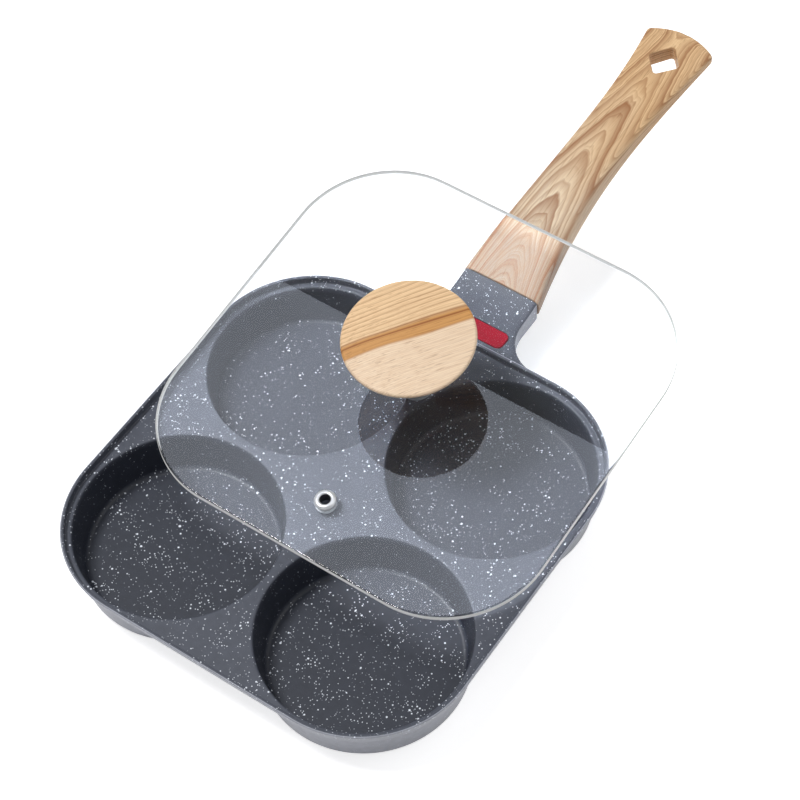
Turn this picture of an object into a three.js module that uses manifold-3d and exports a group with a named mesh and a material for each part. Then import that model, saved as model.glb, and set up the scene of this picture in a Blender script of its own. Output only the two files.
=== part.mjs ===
// Four-cup egg pan with a flat glass lid that leans open over the handle.
// Millimetres, +Z up, the handle along +Y, the base on Z = 0.
import * as THREE from 'three';
import { mergeVertices } from 'three/addons/utils/BufferGeometryUtils.js';
import Module from 'manifold-3d';

const wasm = await Module();
wasm.setup();

// Driving dimensions of the cast pan
const CUP_MOUTH_RADIUS = 45.2;
const CUP_DEPTH = 19.8;
const CUP_DRAFT = 3;
const CUP_WALL = 2;
const CUP_LIP_RADIUS = 1;
const CUP_FLOOR_FILLET = 2.5;
const CUP_FLOOR_THICKNESS = 2.5;
const BASE_EDGE_FILLET = 3.5;
const CUP_WEB = 2.6;
const RIM_LEDGE = 1.7;
const RIM_LIP_WIDTH = 1.6;
const RIM_LIP_HEIGHT = 3.7;
const RIM_EDGE = 0.5;
const SKIRT_DRAFT = 1.2;
const DECK_THICKNESS = 2.2;

// Driving dimensions of the neck and its inlay
const NECK_LENGTH = 30.6;
const NECK_HALF_WIDTH = 18.6;
const NECK_FLARE_RADIUS = 18.6;
const NECK_DEPTH = 11;
const NECK_STEP = 0.5;
const NECK_ROOT = 8;
const INLAY_LENGTH = 35.6;
const INLAY_WIDTH = 8.8;
const INLAY_CORNER = 2.8;
const INLAY_DEPTH = 2.4;
const INLAY_RISE = 0.3;
const INLAY_SETBACK = 1.9;

// Driving dimensions of the handle and its fixing
const HANDLE_LENGTH = 155.4;
const HANDLE_RISE = 22.4;
const HANDLE_ROOT_DROP = 3.55;
const HANDLE_START_SLOPE = 0.48;
const HANDLE_END_SLOPE = 0.148;
const HANDLE_ROOT_WIDTH = 39;
const HANDLE_WAIST_WIDTH = 25.2;
const HANDLE_END_WIDTH = 36;
const HANDLE_WAIST_PLACE = 0.53;
const HANDLE_ROOT_THICKNESS = 10.6;
const HANDLE_BELLY_THICKNESS = 14.5;
const HANDLE_END_THICKNESS = 6.4;
const HANDLE_BELLY_PLACE = 0.2;
const HANDLE_END_ARCH_RADIUS = 33.3;
const HANDLE_END_LENGTH = 11;
const HANDLE_END_ROUNDING = 1;
const HANDLE_TIP_CUT = 0.25;
const HANG_HOLE_LENGTH = 18.8;
const HANG_HOLE_WIDTH = 16.2;
const HANG_HOLE_CORNER = 2;
const HANG_HOLE_FROM_END = 19;
const TANG_LENGTH = 36;
const TANG_WIDTH = 18;
const TANG_THICKNESS = 5;
const TANG_CLEARANCE = 0.4;
const HANDLE_SCREW_PLACE = 22;
const HANDLE_SCREW_RADIUS = 2;
const HANDLE_SCREW_DEPTH = 3.5;
const HANDLE_SCREW_HEAD_RADIUS = 3.6;
const HANDLE_SCREW_HEAD_HEIGHT = 1.4;
const HANDLE_WASHER_RADIUS = 4;
const HANDLE_WASHER_THICKNESS = 0.6;
const HANDLE_SCREW_WALL = 1.2;

// Driving dimensions of the lid, its knob and its steam vent
const LID_THICKNESS = 3;
const LID_CLEARANCE = 0.9;
const LID_EDGE = 0.5;
const LID_OPENING = 63;
const KNOB_RADIUS = 28.2;
const KNOB_DISC_THICKNESS = 9;
const KNOB_EDGE_RADIUS = 1.2;
const KNOB_CROWN = 1.2;
const KNOB_HEIGHT = 35.8;
const KNOB_STEM_RADIUS = 6.8;
const KNOB_STEM_FLARE = 7;
const KNOB_SCREW_RADIUS = 2;
const KNOB_SCREW_HEAD_RADIUS = 4.4;
const KNOB_SCREW_HEAD_HEIGHT = 1.4;
const KNOB_INSERT_LENGTH = 13;
const KNOB_INSERT_WALL = 1.7;
const KNOB_GASKET_THICKNESS = 0.8;
const KNOB_WASHER_RADIUS = 7.6;
const KNOB_WASHER_THICKNESS = 0.8;
const GLASS_HOLE_PLAY = 0.8;
const VENT_FROM_EDGE = 25.6;
const VENT_HOLE_RADIUS = 2.3;
const VENT_BARREL_WALL = 0.6;
const VENT_FLANGE_RADIUS = 4.8;
const VENT_FLANGE_THICKNESS = 1.5;
const VENT_WASHER_RADIUS = 4.6;
const VENT_WASHER_THICKNESS = 0.8;

// Rounding on the edge of both screw heads
const SCREW_HEAD_ROUNDING = 0.5;

// Gaps between pieces that touch on the real pan
const SEAT_GAP = 0.3;
const THIN_GAP = 0.15;

// Facets
const CUP_SEGMENTS = 48;
const SMALL_SEGMENTS = 24;
const CORNER_SEGMENTS = 10;
const FILLET_SEGMENTS = 2;
const KNOB_ARC_SEGMENTS = 4;
const FLARE_SEGMENTS = 6;
const CLIMB_SEGMENTS = 4;
const SECTION_POINTS = 32;
const HANDLE_STATIONS = 18;
const HANDLE_END_STATIONS = 6;
const TANG_STATIONS = 6;

// Accuracy of welded points and of the lid's lean
const WELD_DISTANCE = 1e-5;
const LEAN_SAMPLES = 60;
const LEAN_PASSES = 4;

// Section shapes: 2 is an ellipse, and larger powers come closer to a rectangle
const HANDLE_SECTION_POWER = 4.6;
const NECK_SECTION_POWER = 12;
const TANG_SECTION_POWER = 6;
const HANDLE_CORNER_POWER = 27;

// Heights and reaches that follow from the driving dimensions
const floorZ = CUP_FLOOR_THICKNESS;
const deckZ = floorZ + CUP_DEPTH;
const rimZ = deckZ + RIM_LIP_HEIGHT;
const cupCentre = CUP_WEB / 2 + CUP_MOUTH_RADIUS;
const recessHalf = cupCentre + CUP_MOUTH_RADIUS + RIM_LEDGE;
const recessCorner = CUP_MOUTH_RADIUS + RIM_LEDGE;
const panHalf = recessHalf + RIM_LIP_WIDTH;
const panCorner = recessCorner + RIM_LIP_WIDTH;
const skirtZ = deckZ - DECK_THICKNESS;
const neckTopZ = rimZ - NECK_STEP;
const neckBottomZ = rimZ - NECK_DEPTH;
const inlayY = panHalf + INLAY_SETBACK + INLAY_WIDTH / 2;
const neckClimbStart = inlayY + INLAY_WIDTH / 2 + INLAY_SETBACK;
const handleStart = panHalf + NECK_LENGTH;
const handleEnd = handleStart + HANDLE_LENGTH;
const handleRootZ = rimZ - HANDLE_ROOT_DROP;
const handleScrewY = handleStart + HANDLE_SCREW_PLACE;
const hangHoleY = handleEnd - HANG_HOLE_FROM_END;
const tangEnd = handleStart + TANG_LENGTH;
const lidSide = 2 * (recessHalf - LID_CLEARANCE);
const lidCorner = recessCorner - LID_CLEARANCE;

// Materials
const coating = new THREE.MeshStandardMaterial({ color: 0x4a4d57, roughness: 0.55, metalness: 0.1 });
const inlayRed = new THREE.MeshStandardMaterial({ color: 0xb0002d, roughness: 0.5, metalness: 0 });
const woodLook = new THREE.MeshStandardMaterial({ color: 0xd7b48c, roughness: 0.5, metalness: 0 });
const glass = new THREE.MeshStandardMaterial({
  color: 0xe8efee,
  roughness: 0.05,
  metalness: 0,
  transparent: true,
  opacity: 0.25,
});
const steel = new THREE.MeshStandardMaterial({ color: 0xc9ccd0, roughness: 0.25, metalness: 1 });
const brass = new THREE.MeshStandardMaterial({ color: 0xb9924a, roughness: 0.35, metalness: 1 });
const silicone = new THREE.MeshStandardMaterial({ color: 0xd9dcda, roughness: 0.7, metalness: 0 });

// Turns a closed geometry, or a solid that is one already, into a solid for joining and cutting
function asSolid(shape) {
  if (shape instanceof wasm.Manifold) return shape;
  const bare = new THREE.BufferGeometry();
  bare.setAttribute('position', shape.getAttribute('position'));
  bare.setIndex(shape.getIndex());
  const merged = mergeVertices(bare, WELD_DISTANCE);
  const corners = merged.getIndex().array;
  const triVerts = [];
  for (let i = 0; i < corners.length; i += 3) {
    const [a, b, c] = corners.slice(i, i + 3);
    if (a !== b && b !== c && c !== a) triVerts.push(a, b, c);
  }
  return new wasm.Manifold(
    new wasm.Mesh({
      numProp: 3,
      vertProperties: new Float32Array(merged.getAttribute('position').array),
      triVerts: new Uint32Array(triVerts),
    }),
  );
}

function fuse(...shapes) {
  return shapes.map(asSolid).reduce((whole, part) => whole.add(part));
}

function cut(body, ...tools) {
  return tools.map(asSolid).reduce((rest, tool) => rest.subtract(tool), asSolid(body));
}

// Makes a named piece from a finished shape
function piece(name, shape, material) {
  const mesh = asSolid(shape).getMesh();
  const geometry = new THREE.BufferGeometry();
  geometry.setAttribute('position', new THREE.BufferAttribute(mesh.vertProperties, 3));
  geometry.setIndex(new THREE.BufferAttribute(mesh.triVerts, 1));
  geometry.computeVertexNormals();
  const result = new THREE.Mesh(geometry, material);
  result.name = name;
  return result;
}

// A body turned about Z from a profile of [radius, height] points that runs outwards and then up
function revolve(profile, segments = SMALL_SEGMENTS) {
  const points = profile.map(([radius, height]) => new THREE.Vector2(radius, height));
  return new THREE.LatheGeometry(points, segments).rotateX(Math.PI / 2);
}

function cylinder(radius, bottom, top) {
  return revolve([[0, bottom], [radius, bottom], [radius, top], [0, top]]);
}

function ring(innerRadius, outerRadius, bottom, top) {
  return revolve([
    [innerRadius, bottom],
    [outerRadius, bottom],
    [outerRadius, top],
    [innerRadius, top],
    [innerRadius, bottom],
  ]);
}

// Points of a circular arc in a profile, angles in quarter turns from the outward direction
function arc(centreRadius, centreHeight, radius, from, to, steps = FILLET_SEGMENTS) {
  const points = [];
  for (let i = 0; i <= steps; i++) {
    const angle = (from + (to - from) * (i / steps)) * (Math.PI / 2);
    points.push([centreRadius + radius * Math.cos(angle), centreHeight + radius * Math.sin(angle)]);
  }
  return points;
}

// A closed skin over rings with equal point counts, counterclockwise seen from the last ring's side
function loft(rings) {
  const count = rings[0].length;
  const points = rings.flat();
  const index = [];
  for (let level = 0; level < rings.length - 1; level++) {
    for (let i = 0; i < count; i++) {
      const a = level * count + i;
      const b = level * count + ((i + 1) % count);
      index.push(a, b, b + count, a, b + count, a + count);
    }
  }
  const middle = (outline) => {
    const sum = outline.reduce((total, point) => total.add(point), new THREE.Vector3());
    return sum.divideScalar(count);
  };
  const last = (rings.length - 1) * count;
  const firstCentre = points.push(middle(rings[0])) - 1;
  const lastCentre = points.push(middle(rings[rings.length - 1])) - 1;
  for (let i = 0; i < count; i++) {
    const next = (i + 1) % count;
    index.push(firstCentre, next, i, lastCentre, last + i, last + next);
  }
  const geometry = new THREE.BufferGeometry().setFromPoints(points);
  geometry.setIndex(index);
  return geometry;
}

// A level rectangle with round corners
function roundedRectangle(halfX, halfY, radius, z) {
  const points = [];
  for (let corner = 0; corner < 4; corner++) {
    const centreX = (halfX - radius) * (corner === 0 || corner === 3 ? 1 : -1);
    const centreY = (halfY - radius) * (corner < 2 ? 1 : -1);
    for (let i = 0; i <= CORNER_SEGMENTS; i++) {
      const angle = (corner + i / CORNER_SEGMENTS) * (Math.PI / 2);
      const x = centreX + radius * Math.cos(angle);
      const y = centreY + radius * Math.sin(angle);
      points.push(new THREE.Vector3(x, y, z));
    }
  }
  return points;
}

// An upright section across Y, between an ellipse and a rectangle
function section(y, halfWidth, bottom, top, power) {
  const middle = (top + bottom) / 2;
  const halfHeight = (top - bottom) / 2;
  const bend = (value) => Math.sign(value) * Math.abs(value) ** (2 / power);
  const points = [];
  for (let i = 0; i < SECTION_POINTS; i++) {
    const angle = (i / SECTION_POINTS) * 2 * Math.PI;
    const x = halfWidth * bend(Math.cos(angle));
    const z = middle - halfHeight * bend(Math.sin(angle));
    points.push(new THREE.Vector3(x, y, z));
  }
  return points;
}

// Evenly spaced values, both ends included
function spread(from, to, steps) {
  return Array.from({ length: steps + 1 }, (unused, i) => from + ((to - from) * i) / steps);
}

// Height of the handle's middle line: a cubic with a set slope at each end
function handleMiddle(y) {
  const t = (y - handleStart) / HANDLE_LENGTH;
  const startPull = HANDLE_START_SLOPE * HANDLE_LENGTH * (t - 2 * t ** 2 + t ** 3);
  const endPull = HANDLE_END_SLOPE * HANDLE_LENGTH * (t ** 3 - t ** 2);
  return handleRootZ + HANDLE_RISE * (3 * t ** 2 - 2 * t ** 3) + startPull + endPull;
}

function handleSlope(y) {
  const t = (y - handleStart) / HANDLE_LENGTH;
  const startPull = HANDLE_START_SLOPE * (1 - 4 * t + 3 * t ** 2);
  const endPull = HANDLE_END_SLOPE * (3 * t ** 2 - 2 * t);
  return (HANDLE_RISE / HANDLE_LENGTH) * (6 * t - 6 * t ** 2) + startPull + endPull;
}

// A size along the handle that turns at one place and runs to each end as a parabola
function alongHandle(y, root, turn, end, place) {
  const turnY = handleStart + place * HANDLE_LENGTH;
  const [far, farY] = y < turnY ? [root, handleStart] : [end, handleEnd];
  return turn + (far - turn) * ((y - turnY) / (farY - turnY)) ** 2;
}

// Half thickness of the handle: a belly under the fingers, thinner at the root and the end
function handleHalfThickness(y) {
  const [root, belly, end] = [HANDLE_ROOT_THICKNESS, HANDLE_BELLY_THICKNESS, HANDLE_END_THICKNESS];
  return alongHandle(y, root, belly, end, HANDLE_BELLY_PLACE) / 2;
}

// Half width of the handle: a waist between two flares, closed by the arched end
function handleHalfWidth(y) {
  const [root, waist, end] = [HANDLE_ROOT_WIDTH, HANDLE_WAIST_WIDTH, HANDLE_END_WIDTH];
  const side = alongHandle(y, root, waist, end, HANDLE_WAIST_PLACE) / 2;
  const fromTip = handleEnd - y + HANDLE_TIP_CUT;
  if (fromTip >= HANDLE_END_ARCH_RADIUS) return side;
  const arch = Math.sqrt(HANDLE_END_ARCH_RADIUS ** 2 - (HANDLE_END_ARCH_RADIUS - fromTip) ** 2);
  return (side ** -HANDLE_CORNER_POWER + arch ** -HANDLE_CORNER_POWER) ** (-1 / HANDLE_CORNER_POWER);
}

// Cup radius inside its drafted wall
function cupRadius(z) {
  const topRadius = CUP_MOUTH_RADIUS - CUP_LIP_RADIUS;
  const topZ = deckZ - CUP_LIP_RADIUS;
  return topRadius - (CUP_DRAFT * (topZ - z)) / (topZ - floorZ);
}

function cupSpace() {
  const filletZ = floorZ + CUP_FLOOR_FILLET;
  return revolve(
    [
      [0, floorZ],
      ...arc(cupRadius(filletZ) - CUP_FLOOR_FILLET, filletZ, CUP_FLOOR_FILLET, -1, 0),
      ...arc(CUP_MOUTH_RADIUS, deckZ - CUP_LIP_RADIUS, CUP_LIP_RADIUS, 2, 1),
      [CUP_MOUTH_RADIUS, rimZ],
      [0, rimZ],
    ],
    CUP_SEGMENTS,
  );
}

function cupShell() {
  const topZ = (deckZ + skirtZ) / 2;
  const edgeRadius = cupRadius(BASE_EDGE_FILLET) + CUP_WALL;
  return revolve(
    [
      [0, 0],
      ...arc(edgeRadius - BASE_EDGE_FILLET, BASE_EDGE_FILLET, BASE_EDGE_FILLET, -1, 0),
      [cupRadius(topZ) + CUP_WALL, topZ],
      [0, topZ],
    ],
    CUP_SEGMENTS,
  );
}

// Deck plate with the upstanding rim, still without the lid's recess
function rimSlab() {
  const level = (inset, z) => roundedRectangle(panHalf - inset, panHalf - inset, panCorner - inset, z);
  return loft([level(SKIRT_DRAFT, skirtZ), level(0, rimZ - RIM_EDGE), level(RIM_EDGE, rimZ)]);
}

function lidRecess() {
  const level = (outset, z) =>
    roundedRectangle(recessHalf + outset, recessHalf + outset, recessCorner + outset, z);
  return loft([
    level(0, deckZ),
    level(0, rimZ - RIM_EDGE),
    level(RIM_EDGE, rimZ),
    level(2 * RIM_EDGE, rimZ + RIM_EDGE),
  ]);
}

// Height of the neck's top, level beside the inlay and then curving up to the top of the handle's root
function neckTop(y) {
  const climb = Math.max(0, (y - neckClimbStart) / (handleStart - neckClimbStart));
  return neckTopZ + (handleRootZ + HANDLE_ROOT_THICKNESS / 2 - neckTopZ) * climb ** 2;
}

// Neck flared into the rim by a round on each side, with a flat underside
function neck() {
  const rootHalf = NECK_HALF_WIDTH + NECK_FLARE_RADIUS;
  const flareEnd = panHalf + NECK_FLARE_RADIUS;
  const across = (y, halfWidth) => section(y, halfWidth, neckBottomZ, neckTop(y), NECK_SECTION_POWER);
  const flare = spread(0, Math.PI / 2, FLARE_SEGMENTS).map((angle) => {
    const y = panHalf + NECK_FLARE_RADIUS * (1 - Math.cos(angle));
    return across(y, rootHalf - NECK_FLARE_RADIUS * Math.sin(angle));
  });
  const climb = spread(flareEnd, handleStart, CLIMB_SEGMENTS).slice(1);
  return loft([
    across(panHalf - NECK_ROOT, rootHalf),
    ...flare,
    ...climb.map((y) => across(y, NECK_HALF_WIDTH)),
  ]);
}

// Tongue that the handle slides over, or its socket when it is grown by a play
function tang(play, from, to) {
  const halfThickness = TANG_THICKNESS / 2 + play;
  return loft(
    spread(from, to, TANG_STATIONS).map((y) => {
      const middle = handleMiddle(y);
      const halfWidth = TANG_WIDTH / 2 + play;
      return section(y, halfWidth, middle - halfThickness, middle + halfThickness, TANG_SECTION_POWER);
    }),
  );
}

// Stands a shape made about Z square to the handle's middle line, at the fixing screw
function atHandleScrew(geometry) {
  const slant = Math.atan(handleSlope(handleScrewY));
  return geometry.rotateX(slant).translate(0, handleScrewY, handleMiddle(handleScrewY));
}

function inlayBar(play, bottom, top) {
  const level = (z) =>
    roundedRectangle(INLAY_LENGTH / 2 + play, INLAY_WIDTH / 2 + play, INLAY_CORNER + play, z);
  return loft([level(bottom), level(top)]).translate(0, inlayY, 0);
}

// Distances along the handle screw from the handle's middle line, the head side negative
const screwSeat = -(TANG_THICKNESS / 2 + TANG_CLEARANCE + HANDLE_SCREW_WALL);
const handleWasherTop = screwSeat - THIN_GAP;
const handleHeadTop = handleWasherTop - HANDLE_WASHER_THICKNESS - THIN_GAP;
const handleHeadBottom = handleHeadTop - HANDLE_SCREW_HEAD_HEIGHT;
const handleScrewTip = HANDLE_SCREW_DEPTH - TANG_THICKNESS / 2;

function panBody() {
  const places = [-cupCentre, cupCentre].flatMap((x) => [-cupCentre, cupCentre].map((y) => [x, y]));
  const shells = places.map(([x, y]) => cupShell().translate(x, y, 0));
  const spaces = places.map(([x, y]) => cupSpace().translate(x, y, 0));
  const tongue = tang(0, handleStart - TANG_THICKNESS, tangEnd);
  const casting = fuse(rimSlab(), ...shells, neck(), tongue);
  const screwHole = cylinder(HANDLE_SCREW_RADIUS + SEAT_GAP, -TANG_THICKNESS, handleScrewTip + SEAT_GAP);
  const inlayPocket = inlayBar(SEAT_GAP, neckTopZ - INLAY_DEPTH - SEAT_GAP, rimZ + INLAY_RISE);
  return cut(casting, lidRecess(), ...spaces, inlayPocket, atHandleScrew(screwHole));
}

function handleGrip() {
  const closeFrom = handleEnd - HANDLE_END_LENGTH;
  const straight = spread(handleStart + SEAT_GAP, closeFrom, HANDLE_STATIONS).map((y) => [y, 0]);
  const closing = spread(0, Math.PI / 2, HANDLE_END_STATIONS).slice(1).map((angle) => {
    const y = closeFrom + HANDLE_END_LENGTH * Math.sin(angle);
    return [y, HANDLE_END_ROUNDING * (1 - Math.cos(angle))];
  });
  const body = loft(
    [...straight, ...closing].map(([y, rounding]) => {
      const middle = handleMiddle(y);
      const half = handleHalfThickness(y) - rounding;
      return section(y, handleHalfWidth(y), middle - half, middle + half, HANDLE_SECTION_POWER);
    }),
  );
  const socket = tang(TANG_CLEARANCE, handleStart - TANG_CLEARANCE, tangEnd + TANG_CLEARANCE);
  const screwHole = cylinder(HANDLE_SCREW_RADIUS + SEAT_GAP, screwSeat - HANDLE_SCREW_WALL, 0);
  const counterbore = cylinder(HANDLE_WASHER_RADIUS + SEAT_GAP, -HANDLE_BELLY_THICKNESS, screwSeat);
  return cut(body, socket, atHandleScrew(screwHole), atHandleScrew(counterbore), hangHole());
}

// Diamond hole with rounded corners, for a hook
function hangHole() {
  const half = HANG_HOLE_LENGTH / Math.SQRT2 / 2;
  const reach = HANDLE_BELLY_THICKNESS;
  const level = (z) => roundedRectangle(half, half, HANG_HOLE_CORNER, z);
  const square = loft([level(-reach), level(reach)]).rotateZ(Math.PI / 4);
  const diamond = square.scale(HANG_HOLE_WIDTH / HANG_HOLE_LENGTH, 1, 1);
  return diamond.translate(0, hangHoleY, handleMiddle(hangHoleY));
}

// Screw with a low head under it, pointing up
function screw(radius, headRadius, headBottom, headTop, tip) {
  const rounding = SCREW_HEAD_ROUNDING;
  return revolve([
    [0, headBottom],
    ...arc(headRadius - rounding, headBottom + rounding, rounding, -1, 0),
    [headRadius, headTop],
    [radius, headTop],
    [radius, tip],
    [0, tip],
  ]);
}

function handleScrew() {
  return atHandleScrew(
    screw(HANDLE_SCREW_RADIUS, HANDLE_SCREW_HEAD_RADIUS, handleHeadBottom, handleHeadTop, handleScrewTip),
  );
}

function handleWasher() {
  const bore = HANDLE_SCREW_RADIUS + SEAT_GAP;
  const bottom = handleWasherTop - HANDLE_WASHER_THICKNESS;
  return atHandleScrew(ring(bore, HANDLE_WASHER_RADIUS, bottom, handleWasherTop));
}

function neckInlay() {
  return inlayBar(0, neckTopZ - INLAY_DEPTH, neckTopZ + INLAY_RISE);
}

// Lid pieces stand about the lid's middle, with the glass from 0 up
const glassScrewHole = KNOB_SCREW_RADIUS + GLASS_HOLE_PLAY;
const ventBarrelRadius = VENT_HOLE_RADIUS + VENT_BARREL_WALL;
const knobGasketRadius = KNOB_STEM_RADIUS;
const knobBottom = LID_THICKNESS + KNOB_GASKET_THICKNESS + 2 * THIN_GAP;
const knobTop = LID_THICKNESS + KNOB_HEIGHT;
const insertRadius = KNOB_SCREW_RADIUS + SEAT_GAP + KNOB_INSERT_WALL;
const insertBottom = knobBottom + SEAT_GAP;
const insertTop = insertBottom + KNOB_INSERT_LENGTH;
const knobWasherTop = -KNOB_GASKET_THICKNESS - 2 * THIN_GAP;
const knobHeadTop = knobWasherTop - KNOB_WASHER_THICKNESS - THIN_GAP;
const knobHeadBottom = knobHeadTop - KNOB_SCREW_HEAD_HEIGHT;
const ventWasherBottom = -THIN_GAP - VENT_WASHER_THICKNESS;
const ventPlace = [0, VENT_FROM_EDGE - lidSide / 2, 0];

function lidGlass() {
  const level = (inset, z) =>
    roundedRectangle(lidSide / 2 - inset, lidSide / 2 - inset, lidCorner - inset, z);
  const plate = loft([
    level(LID_EDGE, 0),
    level(0, LID_EDGE),
    level(0, LID_THICKNESS - LID_EDGE),
    level(LID_EDGE, LID_THICKNESS),
  ]);
  const through = (radius) => cylinder(radius, -LID_THICKNESS, 2 * LID_THICKNESS);
  const ventHole = through(ventBarrelRadius + SEAT_GAP).translate(...ventPlace);
  return cut(plate, through(glassScrewHole), ventHole);
}

// Round disc with a thin edge, on a slim stem that sweeps out to a cone under it, bored from below
// for the threaded insert
function lidKnob() {
  const discBottom = knobTop - KNOB_DISC_THICKNESS;
  const edgeZ = knobTop - KNOB_CROWN - KNOB_EDGE_RADIUS;
  const edgeMiddle = KNOB_RADIUS - KNOB_EDGE_RADIUS;
  const flareMiddle = KNOB_STEM_RADIUS + KNOB_STEM_FLARE;
  const coneRise = edgeZ - KNOB_EDGE_RADIUS - discBottom;
  const coneSlope = Math.atan2(coneRise, edgeMiddle - flareMiddle) / (Math.PI / 2);
  const knobArc = (...shape) => arc(...shape, KNOB_ARC_SEGMENTS);
  const turned = revolve(
    [
      [0, knobBottom],
      [KNOB_STEM_RADIUS, knobBottom],
      ...knobArc(flareMiddle, discBottom - KNOB_STEM_FLARE, KNOB_STEM_FLARE, 2, 1 + coneSlope),
      ...knobArc(edgeMiddle, edgeZ, KNOB_EDGE_RADIUS, -1, 1),
      [KNOB_RADIUS / 2, knobTop - KNOB_CROWN / 4],
      [0, knobTop],
    ],
    CUP_SEGMENTS,
  );
  const bore = cylinder(insertRadius + THIN_GAP, knobBottom - KNOB_GASKET_THICKNESS, insertTop + SEAT_GAP);
  return cut(turned, bore);
}

function knobInsert() {
  return ring(KNOB_SCREW_RADIUS + SEAT_GAP, insertRadius, insertBottom, insertTop);
}

function knobGasket(bottom) {
  return ring(glassScrewHole, knobGasketRadius, bottom, bottom + KNOB_GASKET_THICKNESS);
}

function knobWasher() {
  const bore = KNOB_SCREW_RADIUS + SEAT_GAP;
  return ring(bore, KNOB_WASHER_RADIUS, knobWasherTop - KNOB_WASHER_THICKNESS, knobWasherTop);
}

function knobScrew() {
  const tip = insertTop - SEAT_GAP;
  return screw(KNOB_SCREW_RADIUS, KNOB_SCREW_HEAD_RADIUS, knobHeadBottom, knobHeadTop, tip);
}

// Flanged barrel that lines the steam hole
function ventEyelet() {
  const flangeBottom = LID_THICKNESS + THIN_GAP;
  const flangeTop = flangeBottom + VENT_FLANGE_THICKNESS;
  const roundRadius = Math.min(VENT_FLANGE_THICKNESS, VENT_FLANGE_RADIUS - ventBarrelRadius);
  return revolve([
    [VENT_HOLE_RADIUS, ventWasherBottom],
    [ventBarrelRadius, ventWasherBottom],
    [ventBarrelRadius, flangeBottom],
    ...arc(VENT_FLANGE_RADIUS - roundRadius, flangeTop - roundRadius, roundRadius, 0, 1),
    [ventBarrelRadius, flangeTop],
    [VENT_HOLE_RADIUS, flangeTop - VENT_BARREL_WALL],
    [VENT_HOLE_RADIUS, ventWasherBottom],
  ]);
}

function ventWasher() {
  return ring(ventBarrelRadius + THIN_GAP, VENT_WASHER_RADIUS, ventWasherBottom, -THIN_GAP);
}

// Highest line of the neck and handle behind the rim
function backLine(y) {
  if (y >= handleStart) return handleMiddle(y) + handleHalfThickness(y);
  return Math.max(rimZ, neckTop(y));
}

// The lid's front edge stands on the deck, and it leans back until it meets the line behind the rim
const lidFrontY = -panHalf + LID_OPENING;
const lidFrontZ = deckZ + SEAT_GAP;

function leanAngle() {
  let lean = 0;
  for (let pass = 0; pass < LEAN_PASSES; pass++) {
    const backEdge = lidFrontY + lidSide * Math.cos(lean);
    const angles = spread(panHalf, backEdge, LEAN_SAMPLES).map((y) =>
      Math.atan2(backLine(y) + SEAT_GAP - lidFrontZ, y - lidFrontY),
    );
    lean = Math.max(...angles);
  }
  return lean;
}

// Assembly
const pan = new THREE.Group();
pan.add(
  piece('pan_body', panBody(), coating),
  piece('neck_inlay', neckInlay(), inlayRed),
  piece('handle_grip', handleGrip(), woodLook),
  piece('handle_screw', handleScrew(), steel),
  piece('handle_washer', handleWasher(), steel),
);

const lidMiddle = new THREE.Group();
lidMiddle.position.set(0, lidSide / 2, 0);
lidMiddle.add(
  piece('lid_glass', lidGlass(), glass),
  piece('lid_knob', lidKnob(), woodLook),
  piece('knob_insert', knobInsert(), brass),
  piece('knob_gasket_upper', knobGasket(LID_THICKNESS + THIN_GAP), silicone),
  piece('knob_gasket_lower', knobGasket(-THIN_GAP - KNOB_GASKET_THICKNESS), silicone),
  piece('knob_washer', knobWasher(), steel),
  piece('knob_screw', knobScrew(), steel),
  piece('vent_eyelet', ventEyelet().translate(...ventPlace), steel),
  piece('vent_washer', ventWasher().translate(...ventPlace), steel),
);

const lid = new THREE.Group();
lid.position.set(0, lidFrontY, lidFrontZ);
lid.rotation.x = leanAngle();
lid.add(lidMiddle);

// The origin lies under the middle of the whole pan, handle included
const eggPan = new THREE.Group();
eggPan.add(pan, lid);
for (const part of eggPan.children) part.position.y -= (handleEnd - panHalf) / 2;

export default eggPan;
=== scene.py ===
import math

import bmesh
import bpy
from mathutils import Matrix, Vector


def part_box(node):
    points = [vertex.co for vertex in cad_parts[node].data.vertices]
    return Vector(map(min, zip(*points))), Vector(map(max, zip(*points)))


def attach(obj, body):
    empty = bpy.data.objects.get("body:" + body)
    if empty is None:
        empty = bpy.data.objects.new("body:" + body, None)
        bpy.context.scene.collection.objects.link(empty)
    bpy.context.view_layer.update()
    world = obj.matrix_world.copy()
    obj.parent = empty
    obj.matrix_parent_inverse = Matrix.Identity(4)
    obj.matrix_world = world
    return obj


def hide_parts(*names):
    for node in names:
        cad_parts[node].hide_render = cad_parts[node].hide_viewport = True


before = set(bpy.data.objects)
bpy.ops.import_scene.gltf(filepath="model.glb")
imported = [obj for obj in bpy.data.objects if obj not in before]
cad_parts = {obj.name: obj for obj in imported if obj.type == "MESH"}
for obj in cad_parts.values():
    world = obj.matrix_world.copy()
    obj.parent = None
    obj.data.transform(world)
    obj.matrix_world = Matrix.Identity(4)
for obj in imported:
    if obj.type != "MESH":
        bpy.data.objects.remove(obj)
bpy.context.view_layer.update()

# Shapes are in millimetres about the middle of the four cups, with the base on Z = 0
MM = 0.001

# Driving sizes of the cast pan
CUP_MOUTH_RADIUS = 45.2
CUP_DEPTH = 19.8
CUP_DRAFT = 3
CUP_WALL = 2
CUP_LIP = 1
CUP_FLOOR_FILLET = 2.5
CUP_FLOOR = 2.5
CUP_WEB = 2.6
BASE_FILLET = 3.5
RIM_LEDGE = 1.7
RIM_WIDTH = 1.6
RIM_HEIGHT = 3.7
RIM_ROUND = 0.55
LEDGE_FILLET = 0.7
SKIRT_DRAFT = 1.2
DECK_THICKNESS = 2.2

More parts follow.
